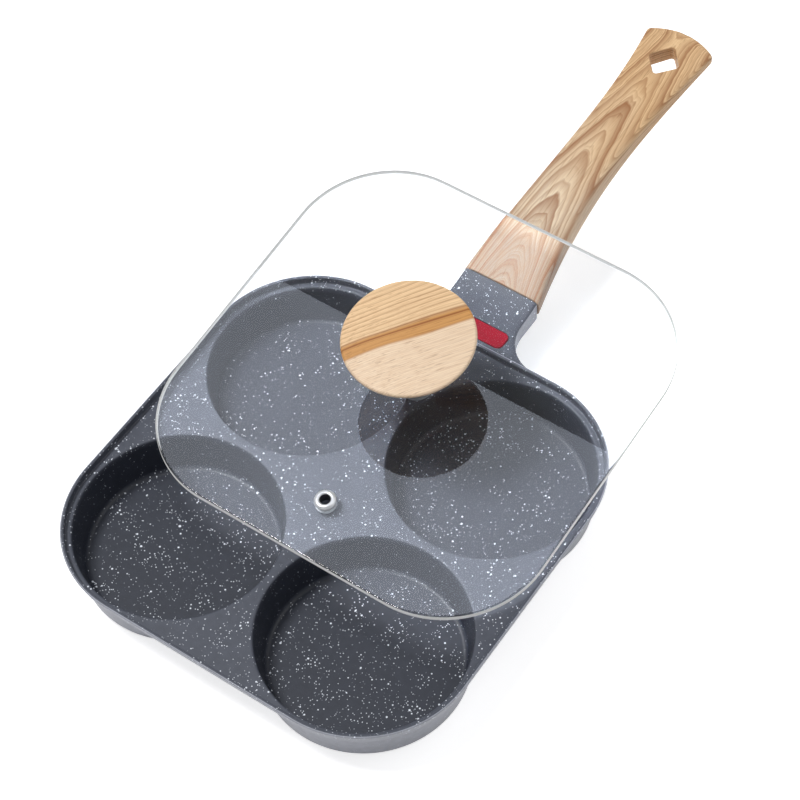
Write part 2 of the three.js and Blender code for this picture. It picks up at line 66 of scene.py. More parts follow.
# Driving sizes of the neck and its inlay
NECK_LENGTH = 30.6
NECK_HALF_WIDTH = 18.6
NECK_FLARE = 18.6
NECK_DEPTH = 11
NECK_STEP = 0.5
NECK_ROOT = 4
INLAY_LENGTH = 35.6
INLAY_WIDTH = 8.8
INLAY_CORNER = 2.8
INLAY_DEPTH = 2.4
INLAY_RISE = 0.3
INLAY_SETBACK = 1.9
INLAY_ROUND = 0.5

# Driving sizes of the handle and its fixing
HANDLE_LENGTH = 155.4
HANDLE_RISE = 22.4
HANDLE_ROOT_DROP = 3.55
HANDLE_START_SLOPE = 0.48
HANDLE_END_SLOPE = 0.148
HANDLE_ROOT_WIDTH = 39
HANDLE_WAIST_WIDTH = 25.2
HANDLE_END_WIDTH = 36
HANDLE_WAIST_PLACE = 0.53
HANDLE_ROOT_THICKNESS = 10.6
HANDLE_BELLY_THICKNESS = 14.5
HANDLE_END_THICKNESS = 6.4
HANDLE_BELLY_PLACE = 0.2
HANDLE_ARCH = 33.3
HANDLE_END_LENGTH = 11
HANDLE_END_ROUND = 1
HANDLE_TIP_CUT = 0.25
HANDLE_JOINT_ROUND = 0.4
HANG_HOLE_LENGTH = 18.8
HANG_HOLE_WIDTH = 16.2
HANG_HOLE_CORNER = 2
HANG_HOLE_FROM_END = 19
HANG_HOLE_ROUND = 0.7
TANG_LENGTH = 36
TANG_WIDTH = 18
TANG_THICKNESS = 5
TANG_PLAY = 0.4
SCREW_PLACE = 22
SCREW_RADIUS = 2
SCREW_DEPTH = 3.5
SCREW_HEAD_RADIUS = 3.6
SCREW_HEAD_HEIGHT = 1.4
SCREW_WALL = 1.2
WASHER_RADIUS = 4
WASHER_THICKNESS = 0.6

# Driving sizes of the lid, its knob and its steam vent
LID_THICKNESS = 3
LID_CLEARANCE = 0.9
LID_EDGE = 0.5
LID_ROUND = 0.9
LID_OPENING = 63
KNOB_RADIUS = 28.2
KNOB_HEIGHT = 35.8
KNOB_DISC = 9
KNOB_EDGE = 1.2
KNOB_CROWN = 1.2
KNOB_STEM = 6.8
KNOB_FLARE = 7
KNOB_FOOT_ROUND = 0.4
KNOB_SCREW_HEAD_RADIUS = 4.4
KNOB_SCREW_HEAD_HEIGHT = 1.4
INSERT_LENGTH = 13
INSERT_WALL = 1.7
GASKET_THICKNESS = 0.8
KNOB_WASHER_RADIUS = 7.6
KNOB_WASHER_THICKNESS = 0.8
GLASS_HOLE_PLAY = 0.8
VENT_FROM_EDGE = 25.6
VENT_HOLE_RADIUS = 2.3
VENT_BARREL_WALL = 0.6
VENT_FLANGE_RADIUS = 4.8
VENT_FLANGE_THICKNESS = 1.5
VENT_MOUTH_ROUND = 0.8
VENT_WASHER_RADIUS = 4.6
VENT_WASHER_THICKNESS = 0.8

# Gaps between pieces that touch on the real pan
SEAT_GAP = 0.3
THIN_GAP = 0.15

# Facets
CUP_STEPS = 144
CORNER_STEPS = 32
SMALL_CORNER_STEPS = 10
SMALL_STEPS = 64
SECTION_STEPS = 128
HANDLE_STATIONS = 110
ARC_STEPS = 6

# Section shapes: 2 is an ellipse, and larger powers come closer to a rectangle
HANDLE_POWER = 4.6
NECK_POWER = 12
TANG_POWER = 6
END_CORNER_POWER = 27

# Places in the finish lists of the casting, the glass and the vent
INSIDE = 0
OUTSIDE = 1
INSIDE_BORE = 1

# Faces of the neck that look up less than this have the outside finish
NECK_SIDE_TILT = 0.3

# Rings on a cup's flat middle, as shares of its radius
FLAT_RINGS = (0.7, 0.35)

# Cross recess of a screw, as shares of its head's height and radius
RECESS_DEPTH = 0.6
RECESS_REACH = 0.55
RECESS_HALF_WIDTH = 0.14

# Softened edge of a flat ring, as a share of its thickness
RING_EDGE = 0.2

# Degrees round the upper edge of the glass where grinding ends and polish starts
GROUND_END = 135

# Heights and reaches that follow from the driving sizes
DECK_Z = CUP_FLOOR + CUP_DEPTH
RIM_Z = DECK_Z + RIM_HEIGHT
SKIRT_Z = DECK_Z - DECK_THICKNESS
CUP_CENTRE = CUP_WEB / 2 + CUP_MOUTH_RADIUS
PAN_CORNER = CUP_MOUTH_RADIUS + RIM_LEDGE + RIM_WIDTH
PAN_HALF = CUP_CENTRE + PAN_CORNER
NECK_TOP_Z = RIM_Z - NECK_STEP
NECK_BOTTOM_Z = RIM_Z - NECK_DEPTH
INLAY_Y = PAN_HALF + INLAY_SETBACK + INLAY_WIDTH / 2
NECK_CLIMB_START = INLAY_Y + INLAY_WIDTH / 2 + INLAY_SETBACK
HANDLE_START = PAN_HALF + NECK_LENGTH
HANDLE_END = HANDLE_START + HANDLE_LENGTH
HANDLE_ROOT_Z = RIM_Z - HANDLE_ROOT_DROP
HANG_HOLE_Y = HANDLE_END - HANG_HOLE_FROM_END
SCREW_Y = HANDLE_START + SCREW_PLACE
LID_HALF = PAN_HALF - RIM_WIDTH - LID_CLEARANCE
LID_CORNER = PAN_CORNER - RIM_WIDTH - LID_CLEARANCE
PAN_SHIFT_Y = (PAN_HALF - HANDLE_END) / 2


def arc(centre_u, centre_v, radius, start, end, steps=ARC_STEPS):
    """Points of an arc, with its angles in degrees."""
    points = []
    for i in range(steps + 1):
        angle = math.radians(start + (end - start) * i / steps)
        points.append((centre_u + radius * math.cos(angle), centre_v + radius * math.sin(angle)))
    return points


def rounded_rectangle(half_x, half_y, corner, z, steps=CORNER_STEPS):
    points = []
    for quarter in range(4):
        centre_x = (half_x - corner) * (1 if quarter in (0, 3) else -1)
        centre_y = (half_y - corner) * (1 if quarter < 2 else -1)
        for x, y in arc(centre_x, centre_y, corner, 90 * quarter, 90 * (quarter + 1), steps):
            points.append(Vector((x, y, z)))
    return points


def circle(radius, z, steps=SMALL_STEPS, centre=(0, 0)):
    points = []
    for i in range(steps):
        angle = 2 * math.pi * i / steps
        x = centre[0] + radius * math.cos(angle)
        y = centre[1] + radius * math.sin(angle)
        points.append(Vector((x, y, z)))
    return points


def section(y, half_width, bottom, top, power):
    """An upright section across Y, between an ellipse and a rectangle."""
    middle = (top + bottom) / 2
    half_height = (top - bottom) / 2
    points = []
    for i in range(SECTION_STEPS):
        angle = 2 * math.pi * (i + 0.5) / SECTION_STEPS
        across = math.cos(angle)
        upward = math.sin(angle)
        x = half_width * math.copysign(abs(across) ** (2 / power), across)
        z = middle + half_height * math.copysign(abs(upward) ** (2 / power), upward)
        points.append(Vector((x, y, z)))
    return points


def add_ring(bm, points):
    return [bm.verts.new(p) for p in points]


def ring_edges(bm, ring):
    return [bm.edges.get((ring[i - 1], ring[i])) for i in range(len(ring))]


def bridge(bm, rings, finish=INSIDE):
    for lower, upper in zip(rings, rings[1:]):
        for i in range(len(lower)):
            face = bm.faces.new((lower[i - 1], lower[i], upper[i], upper[i - 1]))
            face.material_index = finish


def cap(bm, ring, finish=INSIDE):
    """Closes a ring with triangles round its middle."""
    middle = sum((v.co for v in ring), Vector()) / len(ring)
    centre = bm.verts.new(middle)
    for i in range(len(ring)):
        face = bm.faces.new((ring[i - 1], ring[i], centre))
        face.material_index = finish


def loft(rings):
    """A closed skin over rings with equal point counts."""
    bm = bmesh.new()
    made = [add_ring(bm, points) for points in rings]
    bridge(bm, made)
    cap(bm, made[0])
    cap(bm, made[-1])
    return bm


def lathe(profile, steps=SMALL_STEPS):
    """A body turned about Z. A profile that starts and ends off the axis closes on itself."""
    bm = bmesh.new()
    on_axis = profile[0][0] == 0
    inner = profile[1:-1] if on_axis else profile
    rings = [add_ring(bm, circle(radius, z, steps)) for radius, z in inner]
    bridge(bm, rings)
    if not on_axis:
        bridge(bm, [rings[-1], rings[0]])
        return bm
    for ring, height in ((rings[0], profile[0][1]), (rings[-1], profile[-1][1])):
        tip = bm.verts.new((0, 0, height))
        for i in range(steps):
            bm.faces.new((ring[i - 1], ring[i], tip))
    return bm


def cylinder(radius, bottom, top):
    return lathe([(0, bottom), (radius, bottom), (radius, top), (0, top)])


def as_object(name, bm, place):
    """A mesh object from millimetre shapes put in the row frame, in metres."""
    bmesh.ops.recalc_face_normals(bm, faces=bm.faces)
    mesh = bpy.data.meshes.new(name)
    bm.to_mesh(mesh)
    bm.free()
    mesh.transform(place @ Matrix.Scale(MM, 4))
    made = bpy.data.objects.new(name, mesh)
    bpy.context.scene.collection.objects.link(made)
    return made


def combine(body, operation, *tools):
    """Joins tools to the body or cuts them out of it, and removes them."""
    for tool in tools:
        modifier = body.modifiers.new("combine", "BOOLEAN")
        modifier.operation = operation
        modifier.solver = "EXACT"
        modifier.object = tool
        graph = bpy.context.evaluated_depsgraph_get()
        result = bpy.data.meshes.new_from_object(body.evaluated_get(graph))
        body.modifiers.clear()
        body.data = result
        bpy.data.objects.remove(tool)


def finish_piece(piece, materials, body, node, sharp_angle=35):
    """Smooth shading, finish and place in the frame."""
    for material in materials:
        piece.data.materials.append(material)
    piece.data.shade_smooth()
    piece.data.set_sharp_from_angle(angle=math.radians(sharp_angle))
    weighted = piece.modifiers.new("even shading", "WEIGHTED_NORMAL")
    weighted.keep_sharp = True
    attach(piece, body)
    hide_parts(node)


def moved(x, y, z):
    return Matrix.Translation(Vector((x, y, z)) * MM)


pan_place = moved(0, PAN_SHIFT_Y, 0)


# Casting: rim, deck and cups
def cup_radius(z):
    top_z = DECK_Z - CUP_LIP
    return CUP_MOUTH_RADIUS - CUP_LIP - CUP_DRAFT * (top_z - z) / (top_z - CUP_FLOOR)


def rim_profile():
    """Offsets from the outer wall and heights, from the deck over the rim to the skirt's foot."""
    wall = -RIM_WIDTH
    inside = arc(wall - LEDGE_FILLET, DECK_Z + LEDGE_FILLET, LEDGE_FILLET, -90, 0)
    inside += arc(wall + RIM_ROUND, RIM_Z - RIM_ROUND, RIM_ROUND, 180, 90)
    outside = arc(-RIM_ROUND, RIM_Z - RIM_ROUND, RIM_ROUND, 90, 0)
    outside += arc(-SKIRT_DRAFT - RIM_ROUND, SKIRT_Z + RIM_ROUND, RIM_ROUND, 0, -90)
    return inside, outside


def flat_middle(radius, z):
    """Rings that carry a cup's fillet on to its middle."""
    return [(radius * share, z) for share in FLAT_RINGS]


def cup_inside():
    fillet_z = CUP_FLOOR + CUP_FLOOR_FILLET
    fillet_centre = cup_radius(fillet_z) - CUP_FLOOR_FILLET
    profile = arc(CUP_MOUTH_RADIUS, DECK_Z - CUP_LIP, CUP_LIP, 90, 180)
    profile += arc(fillet_centre, fillet_z, CUP_FLOOR_FILLET, 0, -90, 2 * ARC_STEPS)
    return profile + flat_middle(fillet_centre, CUP_FLOOR)


def cup_outside():
    edge = cup_radius(BASE_FILLET) + CUP_WALL
    profile = [(cup_radius(SKIRT_Z) + CUP_WALL, SKIRT_Z)]
    profile += arc(edge - BASE_FILLET, BASE_FILLET, BASE_FILLET, 0, -90, 2 * ARC_STEPS)
    return profile + flat_middle(edge - BASE_FILLET, 0)


def casting():
    bm = bmesh.new()

    def level(offset, z):
        half = PAN_HALF + offset
        return add_ring(bm, rounded_rectangle(half, half, PAN_CORNER + offset, z))

    inside, outside = rim_profile()
    inner_rings = [level(*point) for point in inside]
    outer_rings = [level(*point) for point in outside]
    bridge(bm, inner_rings + outer_rings[:1])
    bridge(bm, outer_rings, OUTSIDE)
    deck_edges = ring_edges(bm, inner_rings[0])
    foot_edges = ring_edges(bm, outer_rings[-1])
    skins = ((cup_inside(), deck_edges, INSIDE), (cup_outside(), foot_edges, OUTSIDE))
    for side in (-CUP_CENTRE, CUP_CENTRE):
        for end in (-CUP_CENTRE, CUP_CENTRE):
            for profile, edges, finish in skins:
                rings = [add_ring(bm, circle(r, z, CUP_STEPS, (side, end))) for r, z in profile]
                bridge(bm, rings, finish)
                cap(bm, rings[-1], finish)
                edges += ring_edges(bm, rings[0])
    bmesh.ops.triangle_fill(bm, use_beauty=True, edges=deck_edges)
    foot = bmesh.ops.triangle_fill(bm, use_beauty=True, edges=foot_edges)
    for face in foot["geom"]:
        if isinstance(face, bmesh.types.BMFace):
            face.material_index = OUTSIDE
    return bm


# Lines of the handle
def handle_middle(y):
    t = (y - HANDLE_START) / HANDLE_LENGTH
    start_pull = HANDLE_START_SLOPE * HANDLE_LENGTH * (t - 2 * t**2 + t**3)
    end_pull = HANDLE_END_SLOPE * HANDLE_LENGTH * (t**3 - t**2)
    return HANDLE_ROOT_Z + HANDLE_RISE * (3 * t**2 - 2 * t**3) + start_pull + end_pull


def handle_slope(y):
    t = (y - HANDLE_START) / HANDLE_LENGTH
    start_pull = HANDLE_START_SLOPE * (1 - 4 * t + 3 * t**2)
    end_pull = HANDLE_END_SLOPE * (3 * t**2 - 2 * t)
    return HANDLE_RISE / HANDLE_LENGTH * (6 * t - 6 * t**2) + start_pull + end_pull


def along_handle(y, root, turn, end, place):
    """A size that turns at one place and runs to each end as a parabola."""
    turn_y = HANDLE_START + place * HANDLE_LENGTH
    far, far_y = (root, HANDLE_START) if y < turn_y else (end, HANDLE_END)
    return turn + (far - turn) * ((y - turn_y) / (far_y - turn_y)) ** 2


def handle_half_thickness(y):
    root, belly, end = HANDLE_ROOT_THICKNESS, HANDLE_BELLY_THICKNESS, HANDLE_END_THICKNESS
    return along_handle(y, root, belly, end, HANDLE_BELLY_PLACE) / 2


def handle_half_width(y):
    root, waist, end = HANDLE_ROOT_WIDTH, HANDLE_WAIST_WIDTH, HANDLE_END_WIDTH
    side = along_handle(y, root, waist, end, HANDLE_WAIST_PLACE) / 2
    from_tip = HANDLE_END - y + HANDLE_TIP_CUT
    if from_tip >= HANDLE_ARCH:
        return side
    arch = math.sqrt(HANDLE_ARCH**2 - (HANDLE_ARCH - from_tip) ** 2)
    return (side**-END_CORNER_POWER + arch**-END_CORNER_POWER) ** (-1 / END_CORNER_POWER)


def handle_section(y, inset=0, side_inset=0):
    middle = handle_middle(y)
    half = handle_half_thickness(y) - inset
    return section(y, handle_half_width(y) - side_inset, middle - half, middle + half, HANDLE_POWER)


# Neck and tongue behind the rim
def neck_top(y):
    climb = max(0, (y - NECK_CLIMB_START) / (HANDLE_START - NECK_CLIMB_START))
    return NECK_TOP_Z + (HANDLE_ROOT_Z + HANDLE_ROOT_THICKNESS / 2 - NECK_TOP_Z) * climb**2


def neck():
    """Flared into the rim by a round on each side, then running up to the handle with a softened end."""
    wall_y = PAN_HALF - RIM_WIDTH / 2
    under_deck = (SKIRT_Z + DECK_Z) / 2
    root_half = NECK_HALF_WIDTH + NECK_FLARE
    flare_end = PAN_HALF + NECK_FLARE
    joint = HANDLE_START - HANDLE_JOINT_ROUND

    def across(y, half_width, top, sunk=0):
        return section(y, half_width - sunk, NECK_BOTTOM_Z + sunk, top - sunk, NECK_POWER)

    rings = [across(y, root_half, under_deck) for y in (PAN_HALF - NECK_ROOT, wall_y - THIN_GAP)]
    rings.append(across(wall_y, root_half, NECK_TOP_Z))
    for side, back in arc(0, 0, NECK_FLARE, 90, 0, 4 * ARC_STEPS):
        y = flare_end - back
        rings.append(across(y, root_half - side, neck_top(y)))
    climb_steps = 3 * ARC_STEPS
    for i in range(1, climb_steps + 1):
        y = flare_end + (joint - flare_end) * i / climb_steps
        rings.append(across(y, NECK_HALF_WIDTH, neck_top(y)))
    for rest, beyond in arc(0, 0, HANDLE_JOINT_ROUND, 0, 90)[1:]:
        y = joint + beyond
        rings.append(across(y, NECK_HALF_WIDTH, neck_top(y), HANDLE_JOINT_ROUND - rest))
    return loft(rings)


def tang(play, start, end, stations=8):
    rings = []
    for i in range(stations + 1):
        y = start + (end - start) * i / stations
        middle = handle_middle(y)
        half = TANG_THICKNESS / 2 + play
        rings.append(section(y, TANG_WIDTH / 2 + play, middle - half, middle + half, TANG_POWER))
    return loft(rings)


def inlay_bar(profile):
    """A bar from pairs of growth and height."""
    rings = []
    for grow, z in profile:
        half_x = INLAY_LENGTH / 2 + grow
        half_y = INLAY_WIDTH / 2 + grow
        rings.append(rounded_rectangle(half_x, half_y, INLAY_CORNER + grow, z, SMALL_CORNER_STEPS))
    return loft(rings)


# Handle
def handle_grip():
    root = HANDLE_START + SEAT_GAP
    body_start = root + HANDLE_JOINT_ROUND
    close_from = HANDLE_END - HANDLE_END_LENGTH
    rings = []
    for inset, before in arc(0, 0, HANDLE_JOINT_ROUND, 90, 0):
        sunk = HANDLE_JOINT_ROUND - inset
        rings.append(handle_section(body_start - before, sunk, sunk))
    for i in range(1, HANDLE_STATIONS + 1):
        rings.append(handle_section(body_start + (close_from - body_start) * i / HANDLE_STATIONS))
    closing = 8 * ARC_STEPS
    for i in range(1, closing + 1):
        angle = math.pi / 2 * i / closing
        y = close_from + HANDLE_END_LENGTH * math.sin(angle)
        rings.append(handle_section(y, HANDLE_END_ROUND * (1 - math.cos(angle))))
    return loft(rings)


def surface_offset(x, y):
    """Distance from the handle's middle line up to its skin at a place seen from above."""
    share = min(abs(x) / handle_half_width(y), 1)
    return handle_half_thickness(y) * (1 - share**HANDLE_POWER) ** (1 / HANDLE_POWER)


def hang_hole():
    """A rounded diamond whose mouth opens out on both sides."""
    narrowed = Matrix.Scale(HANG_HOLE_WIDTH / HANG_HOLE_LENGTH, 4, Vector((1, 0, 0)))
    turned = narrowed @ Matrix.Rotation(math.radians(45), 4, "Z")
    mouth_grow = 1.6 * HANG_HOLE_ROUND
    mouth_rise = 2 * HANG_HOLE_ROUND
    opening = [(mouth_grow, -mouth_rise)]
    opening += arc(HANG_HOLE_ROUND, HANG_HOLE_ROUND, HANG_HOLE_ROUND, 240, 180)
    levels = [(grow, depth, 1) for grow, depth in opening]
    levels += [(grow, depth, -1) for grow, depth in reversed(opening)]
    rings = []
    for grow, depth, side in levels:
        half = HANG_HOLE_LENGTH / math.sqrt(2) / 2 + grow
        ring = []
        for p in rounded_rectangle(half, half, HANG_HOLE_CORNER + grow, 0, SMALL_CORNER_STEPS):
            q = turned @ p
            y = q.y + HANG_HOLE_Y
            z = handle_middle(y) + side * (surface_offset(q.x, y) - depth)
            ring.append(Vector((q.x, y, z)))
        rings.append(ring)
    return loft(rings)


# Small turned pieces
def rounded_ring(inner, outer, bottom, top):
    """A flat ring with softened edges."""
    edge = RING_EDGE * (top - bottom)
    profile = arc(inner + edge, bottom + edge, edge, 180, 270)
    profile += arc(outer - edge, bottom + edge, edge, 270, 360)
    profile += arc(outer - edge, top - edge, edge, 0, 90)
    profile += arc(inner + edge, top - edge, edge, 90, 180)
    return lathe(profile)


def screw(name, place, head_radius, head_bottom, head_top, tip):
    """A pan-head screw whose head points down, with a cross recess."""
    crown = SCREW_RADIUS / 4
    profile = [(0, head_bottom)]
    profile += arc(head_radius - crown, head_bottom + crown, crown, 270, 360)
    profile += [(head_radius, head_top), (SCREW_RADIUS, head_top), (SCREW_RADIUS, tip - crown)]
    profile += [(SCREW_RADIUS - crown, tip), (0, tip)]
    made = as_object(name, lathe(profile), place)
    recess_top = head_bottom + RECESS_DEPTH * (head_top - head_bottom)
    reach = RECESS_REACH * head_radius
    half_width = RECESS_HALF_WIDTH * head_radius
    for turn in (0, 90):
        spin = Matrix.Rotation(math.radians(turn), 4, "Z")
        rings = []
        for z, grow in ((head_bottom - THIN_GAP, THIN_GAP), (recess_top, -THIN_GAP)):
            arm = rounded_rectangle(reach + grow, half_width + grow, THIN_GAP, z, steps=3)
            rings.append([spin @ p for p in arm])
        combine(made, "DIFFERENCE", as_object("recess", loft(rings), place))
    return made


# Lid, about the middle of the glass with its underside at 0
VENT_Y = VENT_FROM_EDGE - LID_HALF
GLASS_SCREW_HOLE = SCREW_RADIUS + GLASS_HOLE_PLAY
VENT_BARREL_RADIUS = VENT_HOLE_RADIUS + VENT_BARREL_WALL
KNOB_BOTTOM = LID_THICKNESS + GASKET_THICKNESS + 2 * THIN_GAP
KNOB_TOP = LID_THICKNESS + KNOB_HEIGHT
INSERT_RADIUS = SCREW_RADIUS + SEAT_GAP + INSERT_WALL
INSERT_BOTTOM = KNOB_BOTTOM + SEAT_GAP
INSERT_TOP = INSERT_BOTTOM + INSERT_LENGTH
KNOB_WASHER_TOP = -GASKET_THICKNESS - 2 * THIN_GAP
KNOB_WASHER_BOTTOM = KNOB_WASHER_TOP - KNOB_WASHER_THICKNESS
KNOB_HEAD_TOP = KNOB_WASHER_BOTTOM - THIN_GAP
KNOB_HEAD_BOTTOM = KNOB_HEAD_TOP - KNOB_SCREW_HEAD_HEIGHT
VENT_WASHER_BOTTOM = -THIN_GAP - VENT_WASHER_THICKNESS


def glass_plate():
    bm = bmesh.new()

    def level(inset, z):
        half = LID_HALF - inset
        return add_ring(bm, rounded_rectangle(half, half, LID_CORNER - inset, z))

    ground = arc(LID_ROUND, LID_ROUND, LID_ROUND, 270, 180)
    ground += arc(LID_ROUND, LID_THICKNESS - LID_ROUND, LID_ROUND, 180, GROUND_END)
    polished = arc(LID_ROUND, LID_THICKNESS - LID_ROUND, LID_ROUND, GROUND_END, 90)
    rings = [level(*point) for point in ground + polished[1:]]
    bridge(bm, rings[: len(ground)], OUTSIDE)
    bridge(bm, rings[len(ground) - 1 :])
    under = ring_edges(bm, rings[0])
    over = ring_edges(bm, rings[-1])
    for radius, y in ((GLASS_SCREW_HOLE, 0), (VENT_BARREL_RADIUS + SEAT_GAP, VENT_Y)):
        hole = [add_ring(bm, circle(radius, z, SMALL_STEPS, (0, y))) for z in (0, LID_THICKNESS)]
        bridge(bm, hole, OUTSIDE)
        under += ring_edges(bm, hole[0])
        over += ring_edges(bm, hole[1])
    bmesh.ops.triangle_fill(bm, use_beauty=True, edges=under)
    bmesh.ops.triangle_fill(bm, use_beauty=True, edges=over)
    return bm


def knob():
    """A thin-edged disc on a slim stem that sweeps out to a cone under it, bored for the insert."""
    disc_bottom = KNOB_TOP - KNOB_DISC
    edge_middle = KNOB_RADIUS - KNOB_EDGE
    edge_z = KNOB_TOP - KNOB_CROWN - KNOB_EDGE
    flare_middle = KNOB_STEM + KNOB_FLARE
    cone_slope = math.degrees(math.atan2(edge_z - KNOB_EDGE - disc_bottom, edge_middle - flare_middle))
    bore = INSERT_RADIUS + THIN_GAP
    bore_top = INSERT_TOP + SEAT_GAP
    profile = [(0, bore_top), (bore, bore_top), (bore, KNOB_BOTTOM)]
    profile += [(KNOB_STEM - KNOB_FOOT_ROUND, KNOB_BOTTOM), (KNOB_STEM, KNOB_BOTTOM + KNOB_FOOT_ROUND)]
    flare_z = disc_bottom - KNOB_FLARE
    profile += arc(flare_middle, flare_z, KNOB_FLARE, 180, 90 + cone_slope, 2 * ARC_STEPS)
    profile += arc(edge_middle, edge_z, KNOB_EDGE, -90, 90, 4 * ARC_STEPS)
    crown_steps = 8
    for i in range(1, crown_steps):
        share = 1 - i / crown_steps
        profile.append((edge_middle * share, KNOB_TOP - KNOB_CROWN * share**2))
    profile.append((0, KNOB_TOP))
    return lathe(profile, CUP_STEPS)


def vent_eyelet():
    """A flanged barrel with a rolled mouth."""
    flange_bottom = LID_THICKNESS + THIN_GAP
    flange_top = flange_bottom + VENT_FLANGE_THICKNESS
    mouth = VENT_MOUTH_ROUND
    profile = [(VENT_HOLE_RADIUS, VENT_WASHER_BOTTOM), (VENT_BARREL_RADIUS, VENT_WASHER_BOTTOM)]
    profile += [(VENT_BARREL_RADIUS, flange_bottom)]
    flange_middle = VENT_FLANGE_RADIUS - VENT_FLANGE_THICKNESS
    profile += arc(flange_middle, flange_bottom, VENT_FLANGE_THICKNESS, 0, 90)
    profile += arc(VENT_HOLE_RADIUS + mouth, flange_top - mouth, mouth, 90, 180)
    bm = lathe(profile)
    # Painted shade: faces inside the bore take the dark second finish for the shade down the hole.
    for face in bm.faces:
        if all(v.co.xy.length < VENT_HOLE_RADIUS + THIN_GAP for v in face.verts):
            face.material_index = INSIDE_BORE
    return bm


# Materials
class Finish:
    """A node material put together one node at a time."""

    def __init__(self, name):
        self.material = bpy.data.materials.new(name)
        self.material.use_nodes = True
        self.nodes = self.material.node_tree.nodes
        self.links = self.material.node_tree.links
        self.shader = self.nodes["Principled BSDF"]
        self.place = self.add("ShaderNodeTexCoord").outputs["Object"]

    def add(self, kind, inputs=None, **settings):
        node = self.nodes.new(kind)
        for name, value in settings.items():
            setattr(node, name, value)
        for key, value in (inputs or {}).items():
            self.put(node.inputs[key], value)
        return node

    def put(self, socket, value):
        if isinstance(value, bpy.types.NodeSocket):
            self.links.new(value, socket)
        else:
            socket.default_value = value

    def set(self, **values):
        """Sets or links the shader's sockets, named with low lines for spaces."""
        for name, value in values.items():
            self.put(self.shader.inputs[name.replace("_", " ")], value)

    def math(self, operation, first, second=0.0):
        node = self.add("ShaderNodeMath", {0: first, 1: second}, operation=operation)
        return node.outputs[0]

    def spread(self, value, start, end, low=0.0, high=1.0, kind="LINEAR"):
        node = self.add(
            "ShaderNodeMapRange",
            {"Value": value, "From Min": start, "From Max": end, "To Min": low, "To Max": high},
            interpolation_type=kind,
        )
        return node.outputs["Result"]

    def scaled(self, vector, factors):
        node = self.add("ShaderNodeVectorMath", {0: vector, 1: factors}, operation="MULTIPLY")
        return node.outputs[0]

    def noise(self, size, vector=None, detail=2.0, roughness=0.5):
        """Noise with features of a given size in metres."""
        node = self.add(
            "ShaderNodeTexNoise",
            {
                "Vector": vector or self.place,
                "Scale": 1 / size,
                "Detail": detail,
                "Roughness": roughness,
            },
        )
        return node.outputs["Fac"]

    def cloud(self, size, low=0.0, high=1.0, detail=2.0):
        """Noise whose usual range runs between two values."""
        return self.spread(self.noise(size, detail=detail), 0.3, 0.7, low, high)

    def mix(self, share, first, second):
        node = self.add("ShaderNodeMix", data_type="RGBA")
        sockets = [socket for socket in node.inputs if socket.enabled]
        for socket, value in zip(sockets, (share, first, second)):
            self.put(socket, value)
        return next(socket for socket in node.outputs if socket.enabled)

    def bump(self, height, depth, strength):
        node = self.add("ShaderNodeBump", {"Height": height, "Distance": depth, "Strength": strength})
        self.put(self.shader.inputs["Normal"], node.outputs["Normal"])


def colour(red, green, blue):
    """A screen colour of 0 to 255 as the linear value that shaders take."""
    linear = []
    for value in (red, green, blue):
        share = value / 255
        linear.append(share / 12.92 if share <= 0.04045 else ((share + 0.055) / 1.055) ** 2.4)
    return (*linear, 1)


# Specks of the coating, in layers of cell size in metres, share of bare cells and largest radius in cells
SPECK_LAYERS = ((0.0009, 0.4, 0.34), (0.0017, 0.6, 0.3), (0.0046, 0.6, 0.14))
SPECK_CORE = 0.7
SPECK_TONE = colour(236, 242, 252)
SPECKS_ON_WALL = 0.6


def speckled(name, floor, wall, deck):
    """Stone-look coating: mottled slate, with painted shade that darkens it down the cup walls and floors
    below a lighter deck, and crowds of pale specks.
    """
    f = Finish(name)
    height = f.add("ShaderNodeSeparateXYZ", {"Vector": f.place}).outputs["Z"]
    # Painted shade: the tone runs from the lighter deck down to the darker walls and floors of the cups.
    up_wall = f.spread(height, CUP_FLOOR * MM, (CUP_FLOOR + 1.5 * CUP_FLOOR_FILLET) * MM)
    on_deck = f.spread(height, (DECK_Z - 3 * CUP_LIP) * MM, DECK_Z * MM)
    base = f.mix(on_deck, f.mix(up_wall, floor, wall), deck)
    mottle = f.cloud(0.003, 0.9, 1.1, detail=4.0)
    slate = f.add("ShaderNodeVectorMath", {0: base, "Scale": mottle}, operation="SCALE").outputs[0]
    on_wall = f.math("MULTIPLY", up_wall, f.math("SUBTRACT", 1.0, on_deck))
    crowd = f.spread(f.noise(0.012), 0.35, 0.65, 0.65, 1.2)
    crowd = f.math("MULTIPLY", crowd, f.spread(on_wall, 0.0, 1.0, 1.0, SPECKS_ON_WALL))
    specks = None
    for cell, rarity, largest in SPECK_LAYERS:
        cells = f.add("ShaderNodeTexVoronoi", {"Vector": f.place, "Scale": 1 / cell})
        chance = f.add("ShaderNodeSeparateColor", {"Color": cells.outputs["Color"]}).outputs["Red"]
        radius = f.math("MULTIPLY", f.spread(chance, rarity, 1.0, 0.0, largest), crowd)
        inner = f.math("MULTIPLY", radius, SPECK_CORE)
        dot = f.spread(cells.outputs["Distance"], inner, radius, 1.0, 0.0)
        specks = dot if specks is None else f.math("MAXIMUM", specks, dot)
    f.set(
        Base_Color=f.mix(specks, slate, SPECK_TONE),
        Roughness=f.cloud(0.0015, 0.4, 0.5),
        Specular_IOR_Level=0.4,
    )
    f.bump(f.math("ADD", f.noise(0.0007, detail=1.0), specks), 0.0001, 0.3)
    return f.material


# Oak print: tones of its marks, and how far noise is drawn out along the grain
LATE_WOOD = colour(138, 72, 20)
FIBRE_TONE = colour(190, 136, 84)
PORE_TONE = colour(138, 86, 42)
FIBRE_STRETCH = (1.0, 0.035, 1.0)
DRIFT_STRETCH = (1.0, 0.3, 1.0)

# Growth rings of the handle: width in metres, strength and sharpness
HANDLE_RINGS = ((0.0014, 1.0, 1.6), (0.0005, 0.9, 1.5), (0.00022, 0.45, 1.2))
PITH_DEPTH = 0.01
RING_SLANT = 0.04
RING_SLANT_GROWTH = 0.2

